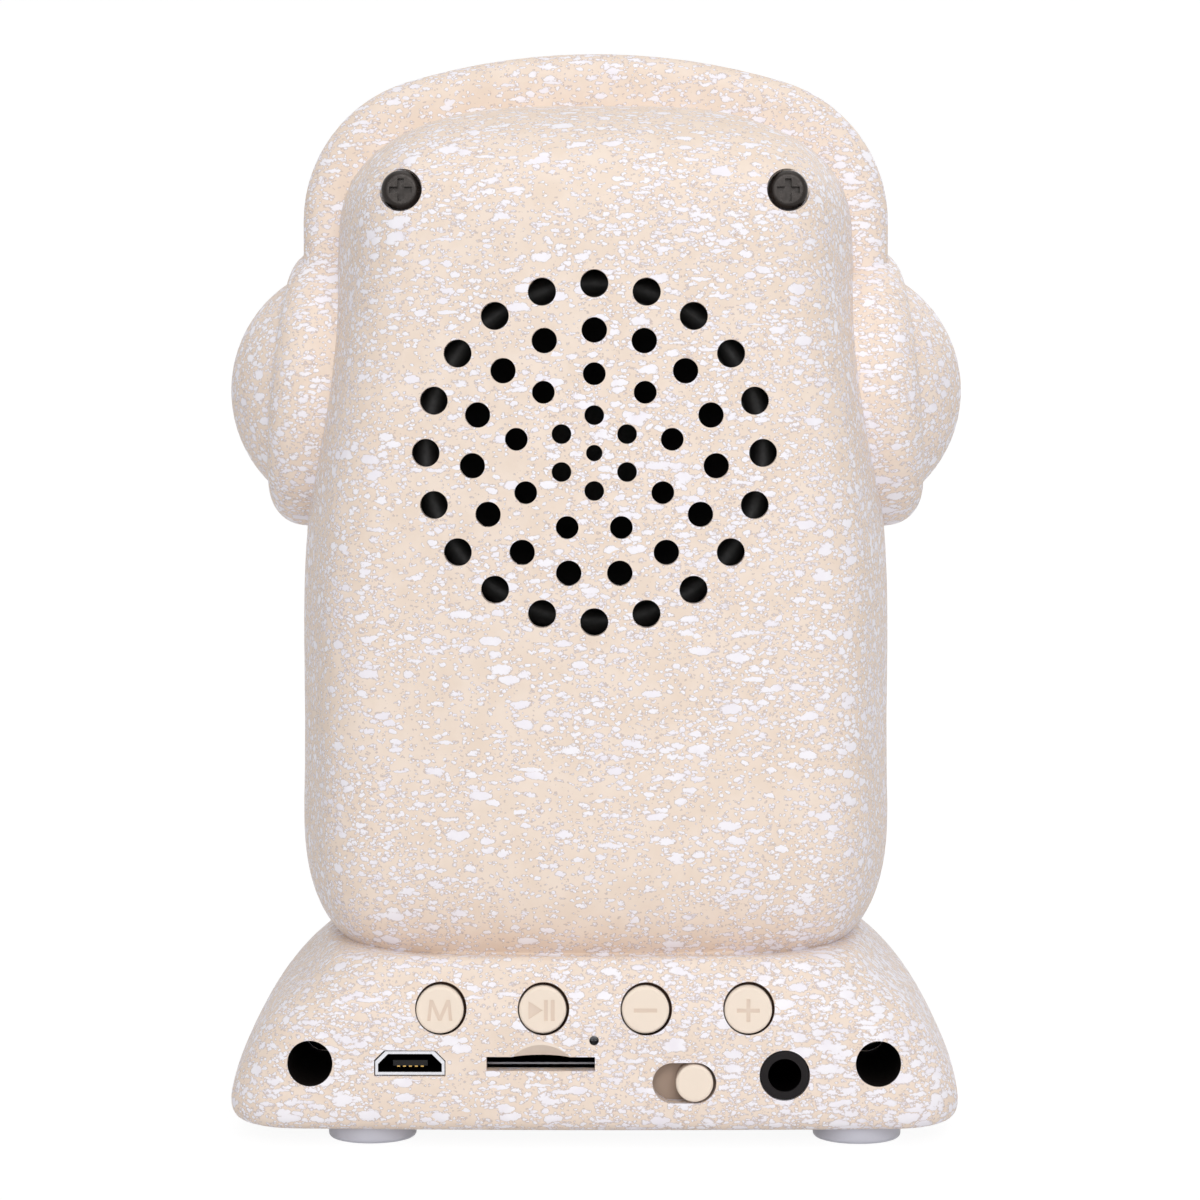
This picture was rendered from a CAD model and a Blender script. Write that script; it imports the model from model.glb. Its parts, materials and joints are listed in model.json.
"""Looks of the head-shaped desk speaker: materials, signs sunk into its caps, light and camera."""
import json
import math

import bmesh
import bpy
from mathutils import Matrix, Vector
from mathutils.bvhtree import BVHTree


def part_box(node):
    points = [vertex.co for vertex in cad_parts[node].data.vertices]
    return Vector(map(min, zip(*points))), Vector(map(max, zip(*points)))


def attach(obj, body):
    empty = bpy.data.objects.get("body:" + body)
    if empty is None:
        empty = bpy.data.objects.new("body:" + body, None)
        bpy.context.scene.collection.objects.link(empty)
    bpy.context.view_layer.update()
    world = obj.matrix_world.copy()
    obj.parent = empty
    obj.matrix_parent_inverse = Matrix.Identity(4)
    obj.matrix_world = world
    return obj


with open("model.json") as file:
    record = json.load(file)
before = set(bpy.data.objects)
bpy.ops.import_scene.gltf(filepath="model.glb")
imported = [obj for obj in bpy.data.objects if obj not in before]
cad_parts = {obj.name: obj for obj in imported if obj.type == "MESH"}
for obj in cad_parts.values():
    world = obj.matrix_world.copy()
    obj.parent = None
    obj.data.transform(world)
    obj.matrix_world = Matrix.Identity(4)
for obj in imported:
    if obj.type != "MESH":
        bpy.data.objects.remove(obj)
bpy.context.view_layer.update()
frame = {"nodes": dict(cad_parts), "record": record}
nodes = frame["nodes"]
scene = bpy.context.scene
MM = 0.001
WHITE = (1, 1, 1, 1)


# Node trees of the materials

class Tree:
    """A short way to write a material's nodes."""

    def __init__(self, name):
        self.material = bpy.data.materials.new(name)
        self.material.use_nodes = True
        self.tree = self.material.node_tree
        self.tree.nodes.clear()
        self.output = self.add("ShaderNodeOutputMaterial")
        self.shader = self.add("ShaderNodeBsdfPrincipled")
        self.join(self.shader, "BSDF", self.output, "Surface")
        self.place = self.add("ShaderNodeTexCoord").outputs["Object"]

    def add(self, kind, **settings):
        node = self.tree.nodes.new(kind)
        for name, value in settings.items():
            setattr(node, name, value)
        return node

    def join(self, source, output, target, name):
        self.tree.links.new(source.outputs[output], target.inputs[name])

    def feed(self, socket, value):
        """Sets a socket to a number or colour, or links another socket to it."""
        if isinstance(value, bpy.types.NodeSocket):
            self.tree.links.new(value, socket)
        else:
            socket.default_value = value

    def set(self, name, value):
        self.feed(self.shader.inputs[name], value)

    def math(self, operation, *values):
        node = self.add("ShaderNodeMath", operation=operation)
        for socket, value in zip(node.inputs, values):
            self.feed(socket, value)
        return node.outputs[0]

    def chain(self, operation, *values):
        """Runs one operation through any number of values."""
        result = values[0]
        for value in values[1:]:
            result = self.math(operation, result, value)
        return result

    def distance(self, first, second):
        squares = [self.math("MULTIPLY", way, way) for way in (first, second)]
        return self.math("SQRT", self.math("ADD", *squares))

    def axes(self):
        """X, Y and Z of the place on the object."""
        separate = self.add("ShaderNodeSeparateXYZ")
        self.feed(separate.inputs[0], self.place)
        return tuple(separate.outputs[axis] for axis in "XYZ")

    def noise(self, scale, detail=2.0, roughness=0.6, stretch=(1, 1, 1)):
        mapping = self.add("ShaderNodeMapping")
        self.feed(mapping.inputs["Vector"], self.place)
        mapping.inputs["Scale"].default_value = stretch
        texture = self.add("ShaderNodeTexNoise")
        self.join(mapping, "Vector", texture, "Vector")
        texture.inputs["Scale"].default_value = scale
        texture.inputs["Detail"].default_value = detail
        texture.inputs["Roughness"].default_value = roughness
        return texture

    def warp(self, place, scale, reach):
        """Moves a place by a noise, so that what is laid out by it gets uneven edges."""
        moved = self.add("ShaderNodeVectorMath", operation="MULTIPLY_ADD")
        self.join(self.noise(scale), "Color", moved, 0)
        moved.inputs[1].default_value = reach
        self.feed(moved.inputs[2], place)
        return moved.outputs[0]

    def ramp(self, value, low, high, start=0.0, end=1.0):
        """Maps low..high to start..end, held at both ends."""
        node = self.add("ShaderNodeMapRange", clamp=True, interpolation_type="SMOOTHSTEP")
        names = ("Value", "From Min", "From Max", "To Min", "To Max")
        for name, amount in zip(names, (value, low, high, start, end)):
            self.feed(node.inputs[name], amount)
        return node.outputs["Result"]

    def mix(self, share, first, second):
        node = self.add("ShaderNodeMix", data_type="RGBA")
        for name, value in (("Factor", share), ("A", first), ("B", second)):
            self.feed(node.inputs[name], value)
        return node.outputs["Result"]

    def bump(self, height, strength, distance):
        node = self.add("ShaderNodeBump")
        node.inputs["Strength"].default_value = strength
        node.inputs["Distance"].default_value = distance
        self.feed(node.inputs["Height"], height)
        self.join(node, "Normal", self.shader, "Normal")


def tone(red, green, blue):
    """A display colour of 0 to 255 per channel as a linear colour."""
    def linear(channel):
        share = channel / 255
        return share / 12.92 if share <= 0.04045 else ((share + 0.055) / 1.055) ** 2.4
    return (linear(red), linear(green), linear(blue), 1.0)


# Speckle paint. Pairs are the two ends of a ramp; the paint gets denser along these

RIGHT_SIDE = (-20 * MM, 38 * MM)
OUTER_SIDES = (20 * MM, 34 * MM)
PLINTH = (26 * MM, 18 * MM)
CROWN = (84 * MM, 100 * MM)
PATCHES = (0.32, 0.68)
PATCH_SCALE, PATCH_STRETCH = 60, (1, 1, 1.6)
# How much each of them adds
PATCH_SHARE, RIGHT_SHARE, RIGHT_PLINTH_SHARE, SIDE_SHARE, PLINTH_SHARE = 0.45, 0.22, 0.30, 0.34, 0.10

# Cells per metre, largest drop in cells, share of cells with a drop, stretch, slant in degrees
DROPS = (
    (430, 0.39, 0.46, (0.62, 1, 1.45), 8),
    (720, 0.42, 0.70, (0.66, 1, 1.40), -12),
    (1150, 0.46, 0.80, (0.74, 1, 1.30), 5),
    (1900, 0.48, 0.85, (0.85, 1, 1.15), 0),
)
# Long strokes, which lie mostly on the plinth and the crown
STROKES = (640, 0.38, 0.60, (0.36, 1, 2.00), -16)
STROKES_THERE, STROKES_ELSEWHERE = 0.8, 0.2
# Each layer is cut from another part of the pattern
LAYER_STEP = (13 * MM, 7 * MM, 3 * MM)
# Depths into a drop are counted in cells of this many to the metre
DEPTH_CELLS = 800
WOBBLE = (850, (1.0 * MM, 1.0 * MM, 0.8 * MM))
JAG = (3600, (0.28 * MM, 0.28 * MM, 0.22 * MM))
# Growth with density: gain and base of the number of drops and of their size, then the spread of sizes
MORE_DROPS = (1.25, 0.58)
LARGER_DROPS = (0.16, 0.95)
SIZE_SPREAD = (0.6, 0.4)
# Depths at which a drop turns white, its rim begins and ends, and the rims of other drops fade inside it
WHITE_EDGE = (-0.005, 0.030)
RIM_OUTSIDE, RIM_INSIDE, RIM_FADE = (-0.04, 0.0), (0.05, 0.01), (0.16, 0.07)
DROP_RISE = (0.0, 0.12)
DROP_COVER, RIM_COVER = 0.92, 0.7

# Thumb scoop over the card slot: centre, radius and the slot's upper edge
SCOOP_X, SCOOP_Z, SCOOP_RADIUS, SLOT_TOP = -5.85 * MM, 8.6 * MM, 3.4 * MM, 10 * MM
# Row of button holes: first centre, pitch, level, the dark rim's radii, the row's reach and its skin
FIRST_BUTTON, BUTTON_PITCH, BUTTON_LEVEL = -16.80 * MM, 11.26 * MM, 15.49 * MM
BUTTON_RIM = (2.86 * MM, 2.80 * MM)
ROW_REACH, ROW_SKIN = 22 * MM, (-30 * MM, -31 * MM)


def paint_density(t, across, low):
    """How thick the drops lie: in patches, and more to the right, at the sides and on the plinth."""
    patches = t.ramp(t.noise(PATCH_SCALE, 2.0, 0.5, stretch=PATCH_STRETCH).outputs["Fac"], *PATCHES)
    on_right = t.math("MULTIPLY_ADD", low, RIGHT_PLINTH_SHARE, RIGHT_SHARE)
    return t.chain(
        "ADD",
        t.math("MULTIPLY", patches, PATCH_SHARE),
        t.math("MULTIPLY", t.ramp(across, *RIGHT_SIDE), on_right),
        t.math("MULTIPLY", t.ramp(t.math("ABSOLUTE", across), *OUTER_SIDES), SIDE_SHARE),
        t.math("MULTIPLY", low, PLINTH_SHARE))


def drop_layer(t, place, density, index, layer, crowd=None):
    """One size of drops: the depth of each place inside them, below zero outside."""
    scale, largest, share, stretch, slant = layer
    mapping = t.add("ShaderNodeMapping")
    t.feed(mapping.inputs["Vector"], place)
    mapping.inputs["Scale"].default_value = stretch
    mapping.inputs["Rotation"].default_value = (0, math.radians(slant), 0)
    mapping.inputs["Location"].default_value = tuple(step * index for step in LAYER_STEP)
    cells = t.add("ShaderNodeTexVoronoi", feature="F1")
    t.join(mapping, "Vector", cells, "Vector")
    cells.inputs["Scale"].default_value = scale
    chance = t.add("ShaderNodeSeparateColor")
    t.join(cells, "Color", chance, 0)
    bound = t.math("MULTIPLY", t.math("MULTIPLY_ADD", density, *MORE_DROPS), share)
    if crowd is not None:
        bound = t.math("MULTIPLY", bound, crowd)
    there = t.math("LESS_THAN", chance.outputs["Red"], bound)
    grown = t.math("MULTIPLY_ADD", density, *(part * largest for part in LARGER_DROPS))
    spread = t.math("MULTIPLY_ADD", chance.outputs["Green"], *SIZE_SPREAD)
    size = t.chain("MULTIPLY", spread, grown, there)
    inside = t.math("SUBTRACT", size, cells.outputs["Distance"])
    return t.math("DIVIDE", inside, scale / DEPTH_CELLS)


def speckle_paint(name):
    """Matt cream paint with splashed white drops, each with a thin darker rim."""
    t = Tree(name)
    place = t.warp(t.warp(t.place, *WOBBLE), *JAG)
    across, back, level = t.axes()
    low = t.ramp(level, *PLINTH)
    density = paint_density(t, across, low)
    stroked = t.math("MAXIMUM", low, t.ramp(level, *CROWN))
    crowd = t.math("MULTIPLY_ADD", stroked, STROKES_THERE, STROKES_ELSEWHERE)
    layers = [drop_layer(t, place, density, index, layer) for index, layer in enumerate(DROPS)]
    layers.append(drop_layer(t, place, density, len(DROPS), STROKES, crowd))
    drops = t.chain("MAXIMUM", *layers)
    rims = [t.math("MULTIPLY", t.ramp(inside, *RIM_OUTSIDE), t.ramp(inside, *RIM_INSIDE))
            for inside in layers]
    rim = t.math("MULTIPLY", t.chain("MAXIMUM", *rims), t.ramp(drops, *RIM_FADE))
    white = t.ramp(drops, *WHITE_EDGE)
    mottle = t.noise(260, 3.0).outputs["Fac"]
    base = t.mix(t.ramp(mottle, 0.3, 0.7), tone(233, 215, 199), tone(239, 223, 209))
    drop_colour = t.mix(t.ramp(mottle, 0.35, 0.7), tone(247, 245, 251), tone(240, 236, 244))
    colour = t.mix(t.math("MULTIPLY", white, DROP_COVER), base, drop_colour)
    colour = t.mix(t.math("MULTIPLY", rim, RIM_COVER), colour, tone(190, 171, 165))
    # The scoop over the card slot keeps no drops
    to_scoop = t.distance(t.math("SUBTRACT", across, SCOOP_X), t.math("SUBTRACT", level, SCOOP_Z))
    over_slot = t.math("GREATER_THAN", level, SLOT_TOP)
    scoop = t.math("MULTIPLY", t.math("LESS_THAN", to_scoop, SCOOP_RADIUS), over_slot)
    colour = t.mix(scoop, colour, tone(238, 222, 208))
    # The paint stops short of the button holes, which show a dark rim
    folded = t.math("MODULO", t.math("SUBTRACT", across, FIRST_BUTTON - BUTTON_PITCH / 2), BUTTON_PITCH)
    aside = t.math("SUBTRACT", folded, BUTTON_PITCH / 2)
    to_button = t.distance(aside, t.math("SUBTRACT", level, BUTTON_LEVEL))
    in_row = t.math("LESS_THAN", t.math("ABSOLUTE", across), ROW_REACH)
    holes = t.chain("MULTIPLY", t.ramp(to_button, *BUTTON_RIM), t.ramp(back, *ROW_SKIN), in_row)
    t.set("Base Color", t.mix(holes, colour, tone(42, 27, 20)))
    # Drops are a little smoother than the cream between them, and the dark rims are dull
    t.set("Roughness", t.math("MULTIPLY_ADD", white, -0.12, 0.62))
    t.set("Specular IOR Level", t.math("MULTIPLY_ADD", holes, -0.33, 0.35))
    grain = t.noise(3800).outputs["Fac"]
    t.bump(t.math("MULTIPLY_ADD", grain, 0.25, t.ramp(drops, *DROP_RISE)), 0.35, 0.06 * MM)
    return t.material


# Plain materials

GRAIN, GRAIN_DEPTH, GRAIN_STRENGTH = 2600, 0.03 * MM, 0.3
ROUGHNESS_SPREAD, LEAST_ROUGHNESS = 0.07, 0.02
DEEP_BLACK = tone(10, 8, 8)


def moulded(name, colour, roughness=0.45, vary=0.06, metallic=0.0, gloss=0.5, dark=None,
            deep_tone=DEEP_BLACK):
    """A plain, slightly uneven material; from the first to the second Y of dark, in mm, it turns deep."""
    t = Tree(name)
    patch = t.noise(GRAIN / 12, 3.0, 0.55).outputs["Fac"]
    fine = t.noise(GRAIN, 2.0, 0.5).outputs["Fac"]
    shade = tuple(channel * (1 - vary) for channel in colour[:3]) + (1.0,)
    mixed = t.mix(patch, shade, colour)
    if dark:
        deep = t.ramp(t.axes()[1], dark[0] * MM, dark[1] * MM)
        mixed = t.mix(deep, mixed, deep_tone)
        front = t.math("SUBTRACT", 1.0, deep)
        metallic = t.math("MULTIPLY", front, metallic)
        gloss = t.math("MULTIPLY", front, gloss)
    t.set("Base Color", mixed)
    t.set("Specular IOR Level", gloss)
    low, high = max(roughness - ROUGHNESS_SPREAD, LEAST_ROUGHNESS), roughness + ROUGHNESS_SPREAD
    t.set("Roughness", t.ramp(fine, 0.25, 0.75, low, high))
    t.set("Metallic", metallic)
    t.bump(fine, GRAIN_STRENGTH, GRAIN_DEPTH)
    return t.material


CAP_CREAM = tone(243, 227, 210)
PORT_BLACK = tone(16, 14, 15)
materials = {
    "speckled_shell": speckle_paint("speckle_paint"),
    "plain_cap": moulded("cap_paint", CAP_CREAM, 0.55),
    "dark_screw": moulded("screw_black", tone(38, 31, 27), 0.32, metallic=0.5, vary=0.3),
    "zinc_screw": moulded("screw_zinc", tone(190, 190, 195), 0.3, metallic=1.0),
    "soft_foot": moulded("foot_rubber", tone(204, 204, 214), 0.4),
    "white_plunger": moulded("plunger_white", tone(225, 224, 220), 0.4),
    "black_plastic": moulded("plastic_black", tone(28, 27, 28), 0.42),
    "stamped_steel": moulded("steel_bright", tone(200, 200, 205), 0.22, metallic=1.0),
    "gilt_contact": moulded("contact_gilt", tone(225, 185, 110), 0.25, metallic=1.0),
    "board_laminate": moulded("board_green", tone(30, 110, 70), 0.3),
    "chip_resin": moulded("resin_black", tone(40, 40, 42), 0.5),
    "ivory_plastic": moulded("plastic_ivory", tone(228, 220, 198), 0.4),
    "capsule_aluminium": moulded("capsule_metal", tone(200, 200, 203), 0.3, metallic=1.0),
    "black_rubber": moulded("rubber_black", tone(26, 25, 25), 0.6),
    "black_steel": moulded("steel_black", tone(30, 29, 29), 0.4),
    "plated_steel": moulded("steel_plated", tone(190, 190, 195), 0.3, metallic=1.0),
    "ferrite": moulded("ferrite_grey", tone(60, 60, 62), 0.6),
    "black_paper": moulded("paper_black", tone(33, 32, 32), 0.8),
    "coil_copper": moulded("copper_wire", tone(200, 120, 80), 0.3, metallic=1.0),
    "amber_cloth": moulded("cloth_amber", tone(190, 150, 80), 0.8),
    "brown_board": moulded("board_brown", tone(140, 105, 75), 0.7),
    "lead_sleeve": moulded("sleeve_red", tone(170, 30, 28), 0.4),
    "battery_foil": moulded("foil_silver", tone(190, 190, 192), 0.25, metallic=1.0),
    "grey_foam": moulded("foam_grey", tone(90, 90, 92), 0.9),
}
# Nodes whose paint differs from the rest of their slot; port parts turn black behind their front edges
special = {
    "audio_jack_body": moulded("jack_black", tone(30, 27, 28), 0.45, gloss=0.12, dark=(-35.75, -35.3)),
    "usb_shell": moulded("port_steel", tone(225, 225, 230), 0.25, metallic=1.0, dark=(-35.6, -35.4)),
    "usb_tongue": moulded("tongue_black", PORT_BLACK, gloss=0.25),
    "card_socket_shell": moulded("card_steel", tone(150, 150, 155), 0.35, metallic=1.0, dark=(-32.9, -32.6)),
    "card_socket_base": moulded("card_black", PORT_BLACK, gloss=0.25),
    "power_knob": moulded("knob_paint", CAP_CREAM, 0.55, dark=(-35.9, -33.7), deep_tone=tone(180, 160, 145)),
    "driver_cone": moulded("cone_black", tone(24, 22, 22), 0.8, gloss=0.2),
}
for entry in frame["record"]["subparts"]:
    data = nodes[entry["node"]].data
    data.materials.clear()
    data.materials.append(special.get(entry["node"], materials[entry["material_slot"]]))
    for polygon in data.polygons:
        polygon.material_index = 0
        polygon.use_smooth = True


# Bare plastic in the holes

WELL_REACH = 7.5 * MM
# Holes lie behind this Y and within this X; the crease over the plinth, at these levels, isn't a hole
HOLES_BEHIND, HOLES_WITHIN, CREASE = -15 * MM, 36 * MM, (18.5 * MM, 50 * MM)
LIFT = 0.02 * MM
RAY_OUT, RAY_ASIDE = 0.55, 0.84
FACES_BACK = -0.6


def bare_wells(node):
    """Gives the bare black plastic to the walls and floors of a shell's holes, where no paint reaches."""
    data = nodes[node].data
    data.materials.append(moulded("bare_core", tone(24, 19, 17), 0.5, gloss=0.25))
    grid = BVHTree.FromPolygons([v.co for v in data.vertices], [tuple(p.vertices) for p in data.polygons])
    for polygon in data.polygons:
        place, facing = polygon.center, polygon.normal
        if place.y > HOLES_BEHIND or abs(place.x) > HOLES_WITHIN or CREASE[0] < place.z < CREASE[1]:
            continue
        start = place + facing * LIFT
        side = facing.orthogonal().normalized()
        other = facing.cross(side)
        rays = [(facing * RAY_OUT + way * RAY_ASIDE).normalized() for way in (side, -side, other, -other)]
        walls = sum(grid.ray_cast(start, ray, WELL_REACH)[0] is not None for ray in rays)
        hit, normal = grid.ray_cast(start, facing, WELL_REACH)[:2]
        if walls == 4 or (walls >= 2 and hit is not None and normal.dot(facing) < FACES_BACK):
            polygon.material_index = 1


bare_wells("rear_shell")


# Signs sunk into the button caps

def prism(name, outlines, back, front):
    """A hidden cutter: flat outlines of (x, z), run from y = back to y = front."""
    mesh = bpy.data.meshes.new(name)
    build = bmesh.new()
    for outline in outlines:
        near = [build.verts.new((x, front, z)) for x, z in outline]
        far = [build.verts.new((x, back, z)) for x, z in outline]
        build.faces.new(near)
        build.faces.new(far[::-1])
        for i in range(len(outline)):
            j = (i + 1) % len(outline)
            build.faces.new((near[i], far[i], far[j], near[j]))
    bmesh.ops.recalc_face_normals(build, faces=build.faces)
    build.to_mesh(mesh)
    build.free()
    for polygon in mesh.polygons:
        polygon.material_index = 1
    item = bpy.data.objects.new(name, mesh)
    scene.collection.objects.link(item)
    item.hide_render = True
    return item


# Outlines are in mm from the cap's middle
STROKE = 0.42
SIGN_DEPTH, CUTTER_FRONT = 0.14 * MM, 0.5 * MM


def bar(x0, z0, x1, z1):
    """Outline of a straight stroke between two points."""
    along = Vector((x1 - x0, z1 - z0)).normalized()
    away = Vector((-along.y, along.x)) * STROKE / 2
    ends = ((x0, z0, 1), (x0, z0, -1), (x1, z1, -1), (x1, z1, 1))
    return [(x + side * away.x, z + side * away.y) for x, z, side in ends]


SIGNS = {
    "mode_button": [[
        (-1.38, -1.15), (-1.12, 1.15), (-0.74, 1.15), (0.0, -0.60), (0.74, 1.15), (1.12, 1.15), (1.38, -1.15),
        (1.02, -1.15), (0.86, 0.42), (0.18, -1.15), (-0.18, -1.15), (-0.86, 0.42), (-1.02, -1.15)]],
    "play_button": [
        [(-1.55, -1.0), (0.0, 0.0), (-1.55, 1.0)], bar(0.36, -1.15, 0.36, 1.15), bar(1.1, -1.15, 1.1, 1.15)],
    "volume_down_button": [bar(-1.27, 0, 1.27, 0)],
    "volume_up_button": [[
        (-0.21, 1.25), (0.21, 1.25), (0.21, 0.21), (1.25, 0.21), (1.25, -0.21), (0.21, -0.21),
        (0.21, -1.25), (-0.21, -1.25), (-0.21, -0.21), (-1.25, -0.21), (-1.25, 0.21), (-0.21, 0.21)]],
}
sign_paint = moulded("sign_shade", tone(231, 212, 195), 0.6)
for node, outlines in SIGNS.items():
    low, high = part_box(node)
    middle_x = (low[0] + high[0]) / 2
    middle_z = (low[2] + high[2]) / 2
    placed = [[(middle_x + x * MM, middle_z + z * MM) for x, z in outline] for outline in outlines]
    cutter = prism(node + "_sign", placed, low[1] + SIGN_DEPTH, low[1] - CUTTER_FRONT)
    item = nodes[node]
    item.data.materials.append(sign_paint)
    cutter.data.materials.append(item.data.materials[0])
    cutter.data.materials.append(sign_paint)
    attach(cutter, node + "_set")
    for polygon in item.data.polygons:
        polygon.use_smooth = False
    sink = item.modifiers.new("sign", "BOOLEAN")
    sink.operation = "DIFFERENCE"
    sink.solver = "EXACT"
    sink.object = cutter


# Floor and backdrop

GLOW, GLOW_SHARE = 1.08, 0.86


def sweep():
    """A pale floor that runs back and curves up into the backdrop."""
    mesh = bpy.data.meshes.new("studio_sweep")
    half, front, back, bend, top, steps = 3.0, -2.0, 1.2, 0.8, 3.0, 16
    profile = [(front, 0.0), (back - bend, 0.0)]
    for step in range(1, steps + 1):
        angle = math.pi / 2 * step / steps
        profile.append((back - bend + bend * math.sin(angle), bend - bend * math.cos(angle)))
    profile.append((back, top))
    verts = [(x, y, z) for y, z in profile for x in (-half, half)]
    faces = [(2 * i, 2 * i + 1, 2 * i + 3, 2 * i + 2) for i in range(len(profile) - 1)]
    mesh.from_pydata(verts, [], faces)
    for polygon in mesh.polygons:
        polygon.use_smooth = True
    item = bpy.data.objects.new("studio_sweep", mesh)
    scene.collection.objects.link(item)
    t = Tree("studio_white")
    t.set("Base Color", (0.82, 0.82, 0.83, 1))
    t.set("Roughness", 0.9)
    path = t.add("ShaderNodeLightPath")
    glow = t.add("ShaderNodeEmission")
    glow.inputs["Color"].default_value = WHITE
    glow.inputs["Strength"].default_value = GLOW
    blend = t.add("ShaderNodeMixShader")
    rays = ("Is Camera Ray", "Is Glossy Ray", "Is Transmission Ray")
    seen = t.chain("MAXIMUM", *(path.outputs[ray] for ray in rays))
    t.feed(blend.inputs[0], t.math("MULTIPLY", seen, GLOW_SHARE))
    t.join(t.shader, "BSDF", blend, 1)
    t.join(glow, "Emission", blend, 2)
    t.join(blend, "Shader", t.output, "Surface")
    mesh.materials.append(t.material)


sweep()

# Lamps: name, place, width, height and watts; each looks at the middle of the object
HEART = Vector((0, 0, 0.06))
for name, place, width, height, watts in (
        ("front_box", (0.1, -1.1, 0.5), 0.7, 0.7, 6.1),
        ("top_box", (0.05, -0.15, 1.0), 0.9, 0.9, 3.4),
        ("low_box", (0.05, -0.9, 0.14), 0.8, 0.2, 0.4),
        ("left_box", (-1.0, -0.2, 0.4), 0.6, 0.8, 0.5),
        ("right_box", (1.0, -0.2, 0.4), 0.6, 0.8, 0.5),
        ("left_back_box", (-0.9, 0.9, 0.6), 0.7, 0.7, 1.0),
        ("right_back_box", (0.8, 1.0, 0.7), 0.6, 0.6, 2.4)):
    light = bpy.data.lights.new(name, "AREA")
    light.shape = "RECTANGLE"
    light.size, light.size_y = width, height
    light.energy = watts
    lamp = bpy.data.objects.new(name, light)
    lamp.location = place
    lamp.rotation_mode = "QUATERNION"
    lamp.rotation_quaternion = (HEART - Vector(place)).to_track_quat("-Z", "Y")
    scene.collection.objects.link(lamp)

# The world lights the object softly, and is white where the camera or a glossy surface sees it
WORLD_LIGHT = 0.31
world = bpy.data.worlds.new("studio_air")
world.use_nodes = True
air = world.node_tree
path = air.nodes.new("ShaderNodeLightPath")
shown = air.nodes.new("ShaderNodeMath")
shown.operation = "MAXIMUM"
strength = air.nodes.new("ShaderNodeMath")
strength.operation = "MULTIPLY_ADD"
strength.inputs[1].default_value = 1 - WORLD_LIGHT
strength.inputs[2].default_value = WORLD_LIGHT
air.links.new(path.outputs["Is Camera Ray"], shown.inputs[0])
air.links.new(path.outputs["Is Glossy Ray"], shown.inputs[1])
air.links.new(shown.outputs[0], strength.inputs[0])
air.nodes["Background"].inputs["Color"].default_value = WHITE
air.links.new(strength.outputs[0], air.nodes["Background"].inputs["Strength"])
scene.world = world
scene.view_settings.view_transform = "Standard"

# Camera at the photograph's viewing angle
TILT_DOWN = 3.1
camera_data = bpy.data.cameras.new("photo_camera")
camera_data.lens = 104.13
camera_data.sensor_width = 36
camera_data.clip_start, camera_data.clip_end = 0.01, 20
camera = bpy.data.objects.new("photo_camera", camera_data)
camera.location = (0.0025, -0.413, 0.0808)
camera.rotation_euler = (math.radians(90 - TILT_DOWN), 0, 0.0049)
scene.collection.objects.link(camera)
scene.camera = camera
